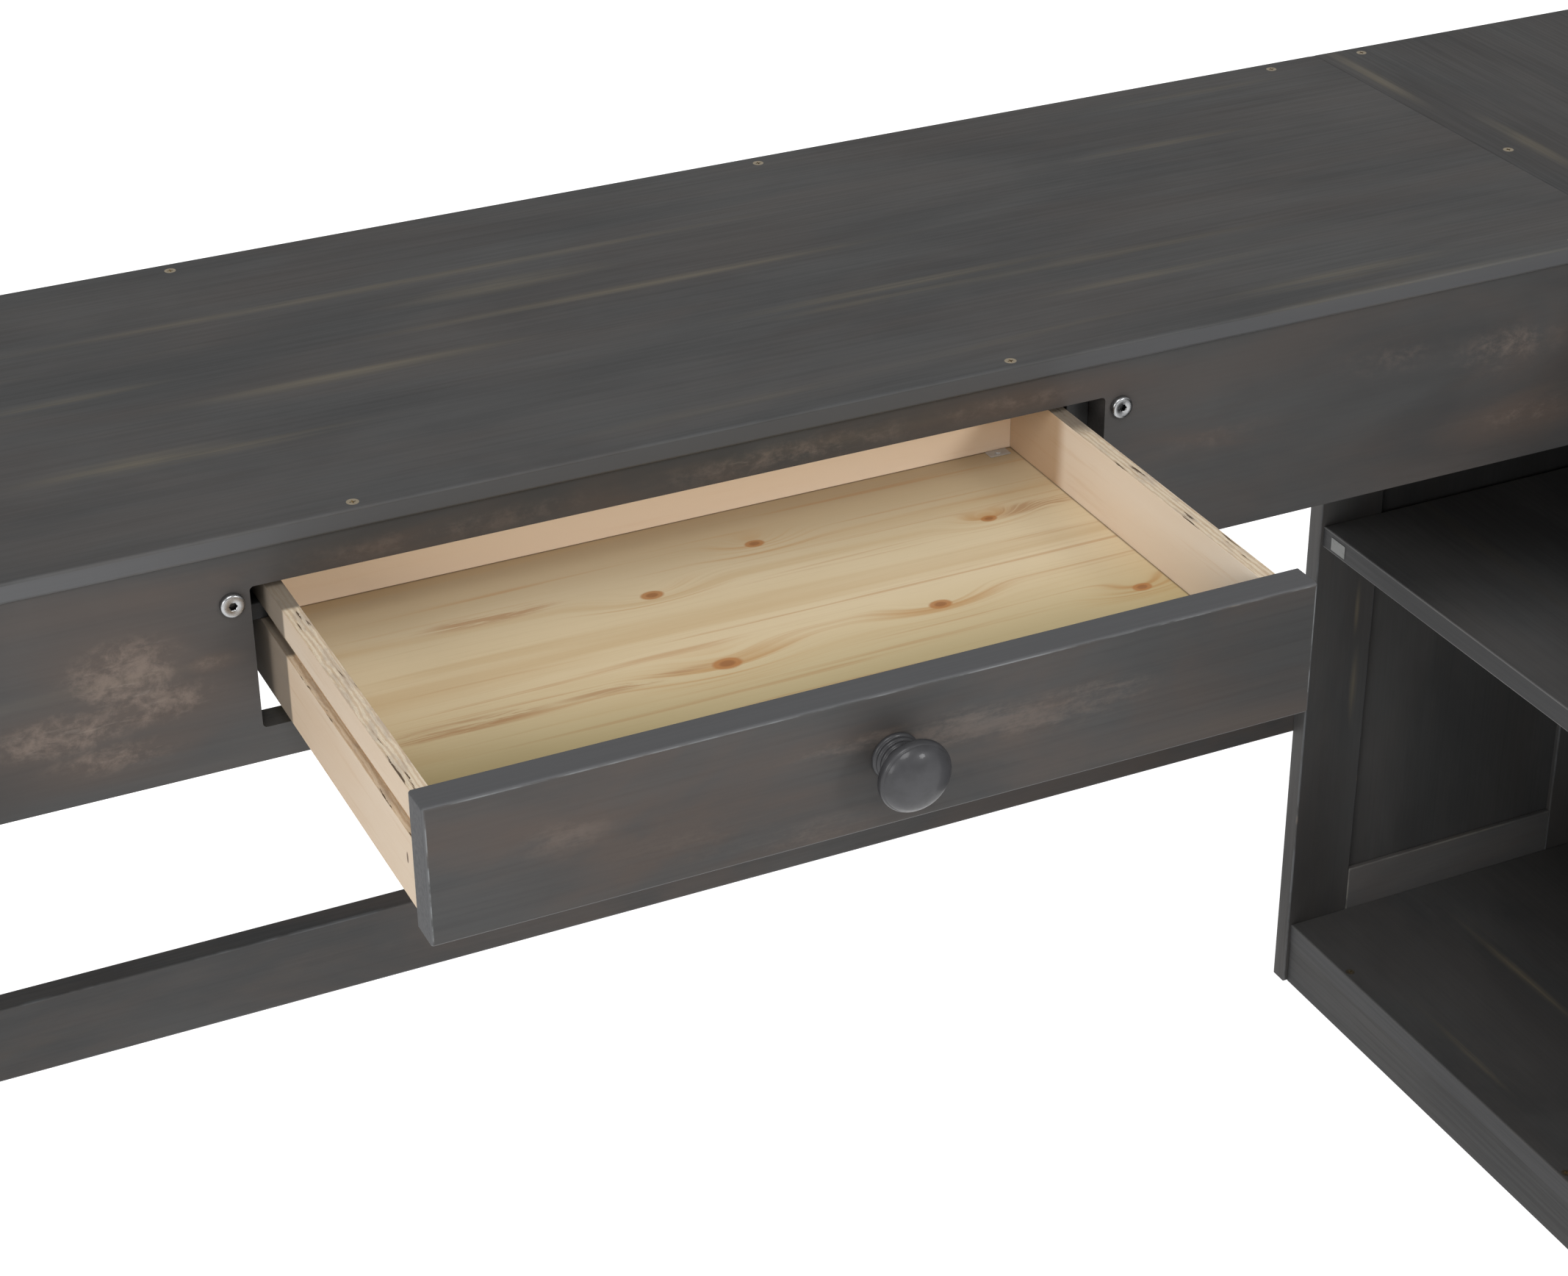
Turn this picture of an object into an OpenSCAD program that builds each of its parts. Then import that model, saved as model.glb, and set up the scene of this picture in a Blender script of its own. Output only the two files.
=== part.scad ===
// Corner desk: a long desk top with one drawer, joined at its right end to a return
// top that stands on an open bookcase. Millimetres, +Z up, +Y towards the wall.
// The origin is on the floor under the middle of the whole desk.

/* [Tops] */
// Height of the work surface above the floor
desk_h = 762; // [700:1:820]
// Thickness of the two tops
top_t = 12; // [10:0.5:18]
// Length of the main top, from its left end to the seam
main_l = 1236; // [1100:1:1500]
// Depth of the main top, from the wall to the user
main_d = 350; // [330:1:450]
// Width of the return top, from the seam to the side wall
return_w = 334; // [310:1:400]
// Length of the return top, from the back wall to its near end
return_l = 994; // [800:1:1200]

/* [Boards] */
// Thickness of aprons, rails, partitions and the drawer front
board_t = 18; // [16:1:22]
// Height of the aprons and rails under the tops
apron_h = 125; // [115:1:150]
// Overhang of the tops over the front apron
top_overhang = 2; // [1:0.5:6]
// Thickness of the shelves
shelf_t = 17; // [15:1:20]

/* [End frames] */
// Thickness of the frame-and-panel ends
frame_t = 15; // [12:1:20]
// Width of a frame's stiles
stile_w = 54; // [45:1:65]
// Height of a frame's rails
frame_rail_h = 60; // [50:1:80]
// Height of the top edge of a frame's bottom rail
recess_z = 91; // [85:1:120]
// Thickness of the recessed panels
panel_t = 6; // [4:0.5:7]

/* [Bookcase] */
// Distance from the seam to the bookcase's front
case_inset = 15; // [13:1:18]
// Width of a bookcase end frame
case_w = 301; // [280:1:320]
// Height of the upper face of the middle shelf
mid_shelf_z = 408; // [300:1:500]
// Height of the upper face of the bottom shelf
bottom_shelf_z = 54; // [45:1:60]
// Set-back of the shelves behind the frame's edge
shelf_setback = 3; // [1:1:6]

/* [Rear beam] */
// Height of the beam's underside
beam_z = 224; // [150:1:300]
// Height of the beam
beam_h = 56; // [45:1:90]

/* [Drawer] */
// Width of the opening in the apron
opening_w = 504; // [450:1:560]
// Height of the opening in the apron
opening_h = 84; // [80:1:90]
// Width of the drawer front
front_w = 486; // [440:1:500]
// Height of the drawer front
front_h = 77; // [70:1:80]
// Outside width of the drawer box
box_w = 471; // [430:1:475]
// Length of the drawer box behind its front
box_l = 272; // [240:1:285]
// Thickness of the plywood sides and back
ply_t = 9.5; // [9:0.5:12]
// Height of the plywood sides
side_h = 67; // [60:1:70]
// How far the drawer stands open
drawer_open = 231; // [0:1:240]

/* [Hidden] */
$fn = 48;

charcoal = [0.24, 0.24, 0.24];
rubbed = [0.30, 0.27, 0.26];
dark_inside = [0.16, 0.16, 0.16];
birch = [0.87, 0.75, 0.60];
pine = [0.82, 0.70, 0.48];
zinc = [0.72, 0.72, 0.70];

// Heights
under_top = desk_h - top_t;
apron_z = under_top - apron_h;
opening_z = apron_z + 20;
front_z = opening_z + 3;
box_top_z = front_z + front_h;
side_z = box_top_z - side_h;

// The wall frame: X from the left end of the main top, Y from the back wall
seam_x = main_l;
total_w = main_l + return_w;
apron_y = -main_d + top_overhang;
apron_back_y = apron_y + board_t;
rail_y = -board_t;
case_x = seam_x + case_inset;
case_end_x = case_x + case_w;
case_back_y = rail_y - frame_t;
near_frame_y = -return_l + board_t;
case_front_y = near_frame_y + frame_t;
shelf_x = case_x + shelf_setback;
return_apron_x = seam_x + 4;
back_panel_t = 6;

// Drawer box and its running gear
opening_x = main_l / 2 - opening_w / 2;
opening_r = 2.5;
front_x = main_l / 2 - front_w / 2;
front_r = 1.5;
front_y = apron_back_y - drawer_open;
box_y = front_y + box_l;
bottom_t = 5;
bottom_z = box_top_z - 47;
bottom_groove = 4.5;
runner_h = 9.5;
groove_h = 10.5;
groove_d = 4.5;
groove_z = box_top_z - 27;
run_gap = 0.5;
bolt_out = 10;
bolt_z = opening_z + opening_h - 7.5;
partition_lx = opening_x - bolt_out - board_t / 2;
partition_rx = opening_x + opening_w + bolt_out - board_t / 2;
partition_in_l = partition_lx + board_t;
packing_t = 15;
partition_h = apron_h - 7;
closed_box_y = apron_back_y + box_l;

// Screws, bolts and nuts
screw_r = 1.8;
screw_head_r = 3.4;
screw_head_h = 2.4;
screw_l = 32;
screw_cols = 4;
screw_margin = 41;
front_screw_y = -main_d + 7;
rear_screw_y = -11;
return_screw_x = seam_x + 13;
return_screw_pitch = 193.5;
bolt_r = 3;
bolt_head_r = 6.7;
bolt_head_h = 3.4;
bolt_l = 50;
hex_r = 2.3;
nut_r = 5;
nut_l = 14;
nut_y = apron_back_y + 26;

// Shift from the wall frame to the origin under the middle of the desk
module placed() { translate([-total_w / 2, return_l / 2, 0]) children(); }

// A board from its lowest corner and its size
module board(low, size) { translate(low) cube(size); }

// A rectangle with round corners
module round_rect(w, h, r) {
    union() {
        translate([r, 0]) square([w - 2 * r, h]);
        translate([0, r]) square([w, h - 2 * r]);
        for (x = [r, w - r], z = [r, h - r]) translate([x, z]) circle(r);
    }
}

// A round-cornered slab that stands in the XZ plane and grows towards +Y
module standing_slab(low, w, h, t, r) {
    translate(low + [0, t, 0]) rotate([90, 0, 0]) linear_extrude(t) round_rect(w, h, r);
}

// Countersunk screw, its head's face at z = 0 and its point downwards
module screw_body(len = screw_l) {
    rotate_extrude() polygon([[0, 0], [screw_head_r, 0], [screw_r, -screw_head_h],
                              [screw_r, -len + 3], [0, -len]]);
}
module screw(len = screw_l) {
    slot_w = 0.9;
    slot_l = 3.4;
    difference() {
        screw_body(len);
        for (a = [0, 90]) rotate(a) translate([-slot_l / 2, -slot_w / 2, -1])
            cube([slot_l, slot_w, 2]);
    }
}

// Where the screws stand
main_cols = [for (i = [0 : screw_cols - 1])
    screw_margin + i * (main_l - 2 * screw_margin) / (screw_cols - 1)];
main_screw_points = [for (x = main_cols, y = [front_screw_y, rear_screw_y]) [x, y, desk_h]];
return_rows = [for (i = [1 : 4]) rear_screw_y - i * return_screw_pitch];
wall_screw_x = seam_x + return_w - board_t / 2;
return_screw_points = concat(
    [for (y = return_rows, x = [return_screw_x, wall_screw_x]) [x, y, desk_h]],
    [for (x = [seam_x + 32, seam_x + 290]) [x, rear_screw_y, desk_h]]);
beam_mid_z = beam_z + beam_h / 2;
beam_screw_points = [[2 + frame_t / 2, 0, beam_mid_z - 13], [2 + frame_t / 2, 0, beam_mid_z + 13],
                     [case_x + 15, 0, beam_mid_z], [case_x + 39, 0, beam_mid_z]];
shelf_screw_x = [case_x + 27, case_end_x - 27];
kick_t = 16;
kick_screw_in = 5.5;
kick_screw_y = [for (i = [0 : 3]) case_back_y - 74 - i * 270];

module main_screws_cut() { for (p = main_screw_points) translate(p) screw_body(); }
module return_screws_cut() { for (p = return_screw_points) translate(p) screw_body(); }
module at_beam_screws() {
    for (p = beam_screw_points) translate(p) rotate([-90, 0, 0]) children();
}
module at_shelf_screws() {
    for (x = shelf_screw_x, z = [mid_shelf_z, bottom_shelf_z]) {
        translate([x, rail_y, z - shelf_t / 2]) rotate([-90, 0, 0]) children();
        translate([x, near_frame_y, z - shelf_t / 2]) rotate([90, 0, 0]) children();
    }
}
module at_kick_screws() {
    for (y = kick_screw_y) translate([shelf_x + kick_screw_in, y, bottom_shelf_z]) children();
}
module at_bolts() {
    for (x = [opening_x - bolt_out, opening_x + opening_w + bolt_out])
        translate([x, apron_y, bolt_z]) rotate([90, 0, 0]) children();
}
module barrel_bores() {
    for (x = [partition_lx, partition_rx])
        translate([x - 1, nut_y, bolt_z]) rotate([0, 90, 0]) cylinder(r = nut_r, h = board_t + 2);
}
module bolt_bores() { at_bolts() translate([0, 0, -bolt_l]) cylinder(r = bolt_r, h = bolt_l); }

// Tops
module main_top() {
    color(charcoal) difference() {
        board([0, -main_d, under_top], [main_l, main_d, top_t]);
        main_screws_cut();
    }
}
module return_top() {
    color(charcoal) difference() {
        board([seam_x, -return_l, under_top], [return_w, return_l, top_t]);
        return_screws_cut();
    }
}

// Aprons and rails under the tops
module front_apron() {
    color(rubbed) difference() {
        board([2, apron_y, apron_z], [return_apron_x - 2, board_t, apron_h]);
        standing_slab([opening_x, apron_y - 1, opening_z], opening_w, opening_h,
                      board_t + 2, opening_r);
        main_screws_cut();
        bolt_bores();
    }
}
module rear_rail() {
    color(charcoal) difference() {
        board([2, rail_y, apron_z], [total_w - 2, board_t, apron_h]);
        main_screws_cut();
        return_screws_cut();
    }
}
module return_apron() {
    lap = case_x - return_apron_x;
    color(rubbed) difference() {
        union() {
            board([return_apron_x, case_front_y, apron_z],
                  [board_t, case_back_y - case_front_y, apron_h]);
            for (y = [case_back_y, near_frame_y])
                board([return_apron_x, y, apron_z], [lap, frame_t, apron_h]);
        }
        return_screws_cut();
    }
}
module wall_rail() {
    color(charcoal) difference() {
        board([total_w - board_t, near_frame_y, apron_z],
              [board_t, rail_y - near_frame_y, apron_h]);
        return_screws_cut();
    }
}
module seam_batten() {
    color(dark_inside) board([return_apron_x - 60, apron_back_y, under_top - board_t],
                             [60, rail_y - apron_back_y, board_t]);
}
module rear_beam() {
    color(rubbed) difference() {
        board([2, rail_y, beam_z], [case_x + stile_w - 2, board_t, beam_h]);
        at_beam_screws() screw_body();
    }
}

// Drawer bay
module partition(x) {
    difference() {
        board([x, apron_back_y, under_top - partition_h],
              [board_t, rail_y - apron_back_y, partition_h]);
        barrel_bores();
        bolt_bores();
    }
}
module partition_left() { color(dark_inside) partition(partition_lx); }
module partition_right() { color(dark_inside) partition(partition_rx); }

box_lx = front_x + 0.5;
box_rx = box_lx + box_w;
module runner(x0, x1) {
    board([x0, apron_back_y + 1, groove_z + (groove_h - runner_h) / 2],
          [x1 - x0, closed_box_y - apron_back_y - 6, runner_h]);
}
module runner_left() {
    color(dark_inside) runner(partition_in_l, box_lx + groove_d - run_gap);
}
module runner_right() {
    color(dark_inside) runner(box_rx - groove_d + run_gap, partition_rx - packing_t);
}
module runner_packing() {
    color(dark_inside)
        board([partition_rx - packing_t, apron_back_y + 1, groove_z - 20],
              [packing_t, closed_box_y - apron_back_y - 6, 44]);
}
module drawer_stops() {
    stop = [24, board_t, 30];
    color(dark_inside) {
        board([partition_in_l, closed_box_y, side_z + 10], stop);
        board([partition_rx - packing_t - stop[0], closed_box_y, side_z + 10],
              stop + [packing_t, 0, 0]);
    }
}

// A frame-and-panel end. Local X runs across the frame, Y through its thickness.
tongue = 8;
groove_y = (frame_t - panel_t) / 2;
module frame_stile(x, side) {
    difference() {
        board([x, 0, 0], [stile_w, frame_t, under_top]);
        board([side > 0 ? x + stile_w - tongue : x - 1, groove_y, recess_z - frame_rail_h],
              [tongue + 1, panel_t, under_top - recess_z + frame_rail_h]);
    }
}
module frame_rail(w, z) {
    difference() {
        union() {
            board([stile_w, 0, z], [w - 2 * stile_w, frame_t, frame_rail_h]);
            board([stile_w - tongue, groove_y, z],
                  [w - 2 * stile_w + 2 * tongue, panel_t, frame_rail_h]);
        }
        panel_slab(w, 0);
    }
}
module panel_slab(w, play) {
    board([stile_w - tongue + play, groove_y, recess_z - tongue + play],
          [w - 2 * (stile_w - tongue + play), panel_t,
           under_top - frame_rail_h - recess_z + 2 * (tongue - play)]);
}
top_rail_z = under_top - frame_rail_h;
bottom_rail_z = recess_z - frame_rail_h;

left_w = rail_y - apron_back_y;
module left_place() {
    translate([2 + frame_t, apron_back_y, 0]) rotate(90) children();
}
module left_stile_front() { color(charcoal) left_place() frame_stile(0, 1); }
module left_stile_rear() {
    color(charcoal) difference() {
        left_place() frame_stile(left_w - stile_w, -1);
        at_beam_screws() screw_body();
    }
}
module left_rail_top() { color(charcoal) left_place() frame_rail(left_w, top_rail_z); }
module left_rail_bottom() { color(charcoal) left_place() frame_rail(left_w, bottom_rail_z); }
module left_panel() { color(dark_inside) left_place() panel_slab(left_w, 0.5); }

module rear_place() { translate([case_x, case_back_y, 0]) children(); }
module rear_stile_inner() {
    color(charcoal) difference() {
        rear_place() frame_stile(0, 1);
        at_beam_screws() screw_body();
        at_shelf_screws() screw_body();
    }
}
module rear_stile_outer() {
    color(charcoal) difference() {
        rear_place() frame_stile(case_w - stile_w, -1);
        at_shelf_screws() screw_body();
    }
}
module rear_frame_rail_top() { color(charcoal) rear_place() frame_rail(case_w, top_rail_z); }
module rear_frame_rail_bottom() {
    color(charcoal) rear_place() frame_rail(case_w, bottom_rail_z);
}
module rear_panel() { color(dark_inside) rear_place() panel_slab(case_w, 0.5); }

module near_place() { translate([case_x, near_frame_y, 0]) children(); }
module near_stile_inner() {
    color(charcoal) difference() {
        near_place() frame_stile(0, 1);
        at_shelf_screws() screw_body();
    }
}
module near_stile_outer() {
    color(charcoal) difference() {
        near_place() frame_stile(case_w - stile_w, -1);
        at_shelf_screws() screw_body();
    }
}
module near_rail_top() { color(charcoal) near_place() frame_rail(case_w, top_rail_z); }
module near_rail_bottom() { color(charcoal) near_place() frame_rail(case_w, bottom_rail_z); }
module near_panel() { color(dark_inside) near_place() panel_slab(case_w, 0.5); }

// Bookcase shelves, plinth and back
case_l = case_back_y - case_front_y;
shelf_d = case_end_x - back_panel_t - shelf_x;
module mid_shelf() {
    color(charcoal) difference() {
        board([shelf_x, case_front_y, mid_shelf_z - shelf_t], [shelf_d, case_l, shelf_t]);
        at_shelf_screws() screw_body();
    }
}
module bottom_shelf() {
    color(charcoal) difference() {
        board([shelf_x, case_front_y, bottom_shelf_z - shelf_t], [shelf_d, case_l, shelf_t]);
        at_shelf_screws() screw_body();
        at_kick_screws() screw_body();
    }
}
module kick_board() {
    color(charcoal) difference() {
        board([shelf_x, case_front_y, 0], [kick_t, case_l, bottom_shelf_z - shelf_t]);
        at_kick_screws() screw_body();
    }
}
module wall_kick_board() {
    color(charcoal) board([case_end_x - back_panel_t - kick_t, case_front_y, 0],
                          [kick_t, case_l, bottom_shelf_z - shelf_t]);
}
module case_back() {
    color(dark_inside) board([case_end_x - back_panel_t, case_front_y, 10],
                             [back_panel_t, case_l, under_top - 10]);
}
module shelf_cleat() {
    color(dark_inside) board([case_end_x - back_panel_t - board_t, case_front_y,
                              mid_shelf_z - shelf_t - 30], [board_t, case_l, 30]);
}
module blank_label() {
    color([0.75, 0.76, 0.75]) board([shelf_x - 0.4, case_back_y - 28, mid_shelf_z - 14],
                                    [0.4, 17, 10]);
}

// Fasteners
module apron_bolts() {
    color(zinc) at_bolts() difference() {
        union() {
            rotate_extrude() polygon([[0, 0], [bolt_head_r, 0], [bolt_head_r, 1.2],
                                      [bolt_head_r - 1.3, bolt_head_h], [0, bolt_head_h]]);
            translate([0, 0, -bolt_l]) cylinder(r = bolt_r, h = bolt_l);
        }
        translate([0, 0, bolt_head_h - 2.4]) cylinder(r = hex_r, h = 3, $fn = 6);
    }
}
module barrel_nuts() {
    color(zinc) difference() {
        for (x = [partition_lx, partition_rx])
            translate([x + (board_t - nut_l) / 2, nut_y, bolt_z])
                rotate([0, 90, 0]) cylinder(r = nut_r, h = nut_l);
        bolt_bores();
    }
}
module main_top_screws() { color(zinc) for (p = main_screw_points) translate(p) screw(); }
module return_top_screws() { color(zinc) for (p = return_screw_points) translate(p) screw(); }
module beam_screws() { color(zinc) at_beam_screws() screw(); }
module shelf_screws() { color(zinc) at_shelf_screws() screw(); }
module kick_screws() { color(zinc) at_kick_screws() screw(); }

// Drawer
knob_x = main_l / 2;
knob_z = front_z + 40;
knob_r = 19.8;
knob_screw_r = 2;
module at_knob() { translate([knob_x, front_y - board_t, knob_z]) rotate([90, 0, 0]) children(); }
module knob_screw_body() {
    at_knob() {
        translate([0, 0, -board_t]) cylinder(r = knob_screw_r, h = board_t + 14);
        translate([0, 0, -board_t - 2.5]) cylinder(r = 4, h = 2.5);
    }
}
module knob() {
    color(charcoal) difference() {
        at_knob() rotate_extrude()
            polygon([[0, 0], [12.6, 0], [13, 2.5], [11.3, 4], [12, 6.5], [10.6, 8], [11.2, 10.5],
                     [10.4, 13], [12.8, 16], [17.8, 18.5], [knob_r, 21.2], [knob_r, 23],
                     [18.4, 25.8], [13.6, 28.6], [7.8, 30.3], [0, 31]]);
        knob_screw_body();
    }
}
module knob_screw() { color(zinc) knob_screw_body(); }
module drawer_front() {
    color(rubbed) difference() {
        standing_slab([front_x, front_y - board_t, front_z], front_w, front_h, board_t, front_r);
        board([box_lx + ply_t - bottom_groove, front_y - 5, bottom_z - 0.1],
              [box_w - 2 * (ply_t - bottom_groove), 6, bottom_t + 0.2]);
        knob_screw_body();
        pins_body();
    }
}
module side_blank(x, out_x) {
    difference() {
        board([x, front_y, side_z], [ply_t, box_l, side_h]);
        board([out_x, front_y - 1, groove_z], [groove_d + 1, box_l + 2, groove_h]);
        board([box_lx + ply_t - bottom_groove, front_y - 1, bottom_z],
              [box_w - 2 * (ply_t - bottom_groove), box_l + 2, bottom_t]);
        pins_body();
    }
}
module drawer_side_left() { color(birch) side_blank(box_lx, box_lx - 1); }
module drawer_side_right() { color(birch) side_blank(box_rx - ply_t, box_rx - groove_d); }
module drawer_back() {
    color(birch) difference() {
        board([box_lx + ply_t, box_y - ply_t, bottom_z + bottom_t],
              [box_w - 2 * ply_t, ply_t, box_top_z - bottom_z - bottom_t]);
        pins_body();
    }
}
module drawer_bottom() {
    color(pine) board([box_lx + ply_t - bottom_groove, front_y - 5, bottom_z],
                      [box_w - 2 * (ply_t - bottom_groove), box_l + 5, bottom_t]);
}
// Pins through the sides into the back; screws through the grooves into the front
pin_r = 1;
pin_l = 24;
module pins_body() {
    for (z = [bottom_z + bottom_t + 6, box_top_z - 6]) {
        translate([box_lx, box_y - ply_t / 2, z]) rotate([0, 90, 0]) cylinder(r = pin_r, h = pin_l);
        translate([box_rx - pin_l, box_y - ply_t / 2, z]) rotate([0, 90, 0])
            cylinder(r = pin_r, h = pin_l);
    }
    for (x = [box_lx + 6.8, box_rx - 6.8], z = [side_z + 7, box_top_z - 7])
        translate([x, front_y - 14, z]) rotate([-90, 0, 0]) cylinder(r = pin_r, h = 30);
}
module drawer_pins() { color(zinc) pins_body(); }
module drawer_clip() {
    clip = [13, 7, 0.8];
    clip_low = [box_rx - ply_t - 17, box_y - ply_t - 8, bottom_z + bottom_t];
    color(zinc) union() {
        board(clip_low, clip);
        translate(clip_low + [clip[0] / 2, clip[1] / 2, clip[2]]) cylinder(r = 2, h = 0.8);
    }
}

placed() main_top();
placed() return_top();
placed() front_apron();
placed() rear_rail();
placed() return_apron();
placed() wall_rail();
placed() seam_batten();
placed() partition_left();
placed() partition_right();
placed() runner_left();
placed() runner_right();
placed() runner_packing();
placed() drawer_stops();
placed() rear_beam();
placed() left_stile_front();
placed() left_stile_rear();
placed() left_rail_top();
placed() left_rail_bottom();
placed() left_panel();
placed() rear_stile_inner();
placed() rear_stile_outer();
placed() rear_frame_rail_top();
placed() rear_frame_rail_bottom();
placed() rear_panel();
placed() near_stile_inner();
placed() near_stile_outer();
placed() near_rail_top();
placed() near_rail_bottom();
placed() near_panel();
placed() mid_shelf();
placed() bottom_shelf();
placed() kick_board();
placed() wall_kick_board();
placed() case_back();
placed() shelf_cleat();
placed() apron_bolts();
placed() barrel_nuts();
placed() main_top_screws();
placed() return_top_screws();
placed() beam_screws();
placed() shelf_screws();
placed() kick_screws();
placed() blank_label();
placed() drawer_front();
placed() drawer_side_left();
placed() drawer_side_right();
placed() drawer_back();
placed() drawer_bottom();
placed() drawer_pins();
placed() drawer_clip();
placed() knob();
placed() knob_screw();
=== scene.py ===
import math

import bmesh
import bpy
from mathutils import Matrix, Vector


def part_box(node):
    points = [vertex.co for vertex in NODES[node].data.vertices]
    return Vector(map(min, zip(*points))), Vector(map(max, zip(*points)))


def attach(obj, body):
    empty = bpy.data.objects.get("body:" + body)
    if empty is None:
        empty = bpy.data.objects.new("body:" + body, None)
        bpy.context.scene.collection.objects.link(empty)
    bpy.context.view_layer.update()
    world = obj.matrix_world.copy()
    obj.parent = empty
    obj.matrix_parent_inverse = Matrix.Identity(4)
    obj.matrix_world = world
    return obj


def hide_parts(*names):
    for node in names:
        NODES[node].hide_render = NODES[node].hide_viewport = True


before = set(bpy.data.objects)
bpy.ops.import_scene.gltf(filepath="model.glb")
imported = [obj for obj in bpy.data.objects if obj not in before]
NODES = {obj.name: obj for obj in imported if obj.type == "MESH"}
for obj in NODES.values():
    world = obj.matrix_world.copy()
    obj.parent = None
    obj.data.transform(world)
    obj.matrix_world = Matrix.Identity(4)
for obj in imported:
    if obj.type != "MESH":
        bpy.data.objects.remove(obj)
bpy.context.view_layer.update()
scene = bpy.context.scene
MM = 0.001

# ---------------------------------------------------------------- places that come from the frame
top_lo, top_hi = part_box("main_top")
apron_lo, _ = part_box("front_apron")
front_lo, front_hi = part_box("drawer_front")
side_l_lo, side_l_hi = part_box("drawer_side_left")
side_r_lo, side_r_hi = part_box("drawer_side_right")
back_lo, back_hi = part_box("drawer_back")
base_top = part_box("drawer_bottom")[1].z
knob_lo, knob_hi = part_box("knob")
shelf_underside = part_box("bottom_shelf")[0].z
seam_x = top_hi.x
wall_y = top_hi.y


def at(x, y, z):
    """A point given in millimetres from the seam between the tops, the back wall and the floor."""
    return Vector((seam_x + x * MM, wall_y + y * MM, z * MM))


def on_base(x, y):
    """A point on the drawer bottom's upper face, from the same zero as at()."""
    point = at(x, y, 0)
    point.z = base_top
    return point


def scaled(values, factor):
    return tuple(v * factor for v in values)


# ---------------------------------------------------------------- node trees
class Tree:
    """A material under construction: its Principled shader and short names for the nodes it needs."""

    def __init__(self, name, grain="x", offset=(0, 0, 0)):
        self.grain = grain
        self.offset = offset
        self.mat = bpy.data.materials.new(name)
        self.mat.use_nodes = True
        self.nt = self.mat.node_tree
        self.nt.nodes.clear()
        out = self.new("ShaderNodeOutputMaterial")
        self.bsdf = self.new("ShaderNodeBsdfPrincipled")
        self.nt.links.new(self.bsdf.outputs[0], out.inputs["Surface"])
        self.pos = self.new("ShaderNodeTexCoord").outputs["Object"]

    def new(self, kind, **props):
        n = self.nt.nodes.new(kind)
        for k, v in props.items():
            setattr(n, k, v)
        return n

    def put(self, socket, value):
        """Links an output to an input socket, or sets that socket's own value."""
        if isinstance(value, bpy.types.NodeSocket):
            self.nt.links.new(value, socket)
        elif value is not None:
            if isinstance(value, (tuple, list)) and len(value) == 3 and socket.type == "RGBA":
                value = (*value, 1)
            socket.default_value = value

    def math(self, op, a, b=None, clamp=False):
        n = self.new("ShaderNodeMath", operation=op, use_clamp=clamp)
        self.put(n.inputs[0], a)
        if b is not None:
            self.put(n.inputs[1], b)
        return n.outputs[0]

    def chain(self, op, values, clamp=False):
        """Folds values with one operation; only the last result is clamped."""
        total = values[0]
        for i, v in enumerate(values[1:], 2):
            total = self.math(op, total, v, clamp and i == len(values))
        return total

    def times(self, *values, clamp=False):
        return self.chain("MULTIPLY", values, clamp)

    def plus(self, *values, clamp=False):
        return self.chain("ADD", values, clamp)

    def most(self, *values):
        return self.chain("MAXIMUM", values)

    def stretch(self, scale, offset=(0, 0, 0), pos=None):
        """Coordinates multiplied by scale after adding offset."""
        n = self.new("ShaderNodeMapping", vector_type="POINT")
        self.put(n.inputs["Vector"], pos or self.pos)
        n.inputs["Location"].default_value = [o * s for o, s in zip(offset, scale)]
        n.inputs["Scale"].default_value = scale
        return n.outputs[0]

    def noise(self, vec, detail=4.0, rough=0.55, distortion=0.0):
        n = self.new("ShaderNodeTexNoise")
        self.put(n.inputs["Vector"], vec)
        n.inputs["Scale"].default_value = 1
        n.inputs["Detail"].default_value = detail
        n.inputs["Roughness"].default_value = rough
        n.inputs["Distortion"].default_value = distortion
        return n.outputs["Fac"]

    def even_noise(self, per_metre, detail, rough):
        """Noise with the same scale per metre along every axis."""
        return self.noise(self.stretch((per_metre,) * 3), detail, rough)

    def grain_noise(self, with_grain, across, detail=4.0, rough=0.55, distortion=0.0):
        """Noise with one scale per metre along the board's grain and another across it."""
        scale = tuple(with_grain if axis == self.grain else across for axis in "xyz")
        return self.noise(self.stretch(scale, self.offset), detail, rough, distortion)

    def ramp(self, value, lo, hi, a=0.0, b=1.0, smooth=True):
        n = self.new("ShaderNodeMapRange", interpolation_type="SMOOTHSTEP" if smooth else "LINEAR")
        n.clamp = True
        self.put(n.inputs["Value"], value)
        for name, v in (("From Min", lo), ("From Max", hi), ("To Min", a), ("To Max", b)):
            n.inputs[name].default_value = v
        return n.outputs[0]

    def mix(self, fac, a, b, blend="MIX"):
        n = self.new("ShaderNodeMix", data_type="RGBA", blend_type=blend)
        self.put(n.inputs[0], fac)
        self.put(n.inputs[6], a)
        self.put(n.inputs[7], b)
        return n.outputs[2]

    def attribute(self, name):
        return self.new("ShaderNodeAttribute", attribute_name=name).outputs["Fac"]

    def spot(self, centre, radii, inner=0.0):
        """1 at a centre, falling to 0 at the radii, all in metres."""
        n = self.new("ShaderNodeMapping", vector_type="TEXTURE")
        self.put(n.inputs["Vector"], self.pos)
        n.inputs["Location"].default_value = centre
        n.inputs["Scale"].default_value = radii
        d = self.new("ShaderNodeVectorMath", operation="LENGTH")
        self.put(d.inputs[0], n.outputs[0])
        return self.ramp(d.outputs["Value"], 1.0, inner)

    def spot_mm(self, centre, radii, grow=1.0):
        """A spot given in millimetres from the seam, the wall and the floor."""
        return self.spot(at(*centre), [r * grow * MM for r in radii])

    def axis(self, i):
        n = self.new("ShaderNodeSeparateXYZ")
        self.put(n.inputs[0], self.pos)
        return n.outputs[i]

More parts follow.
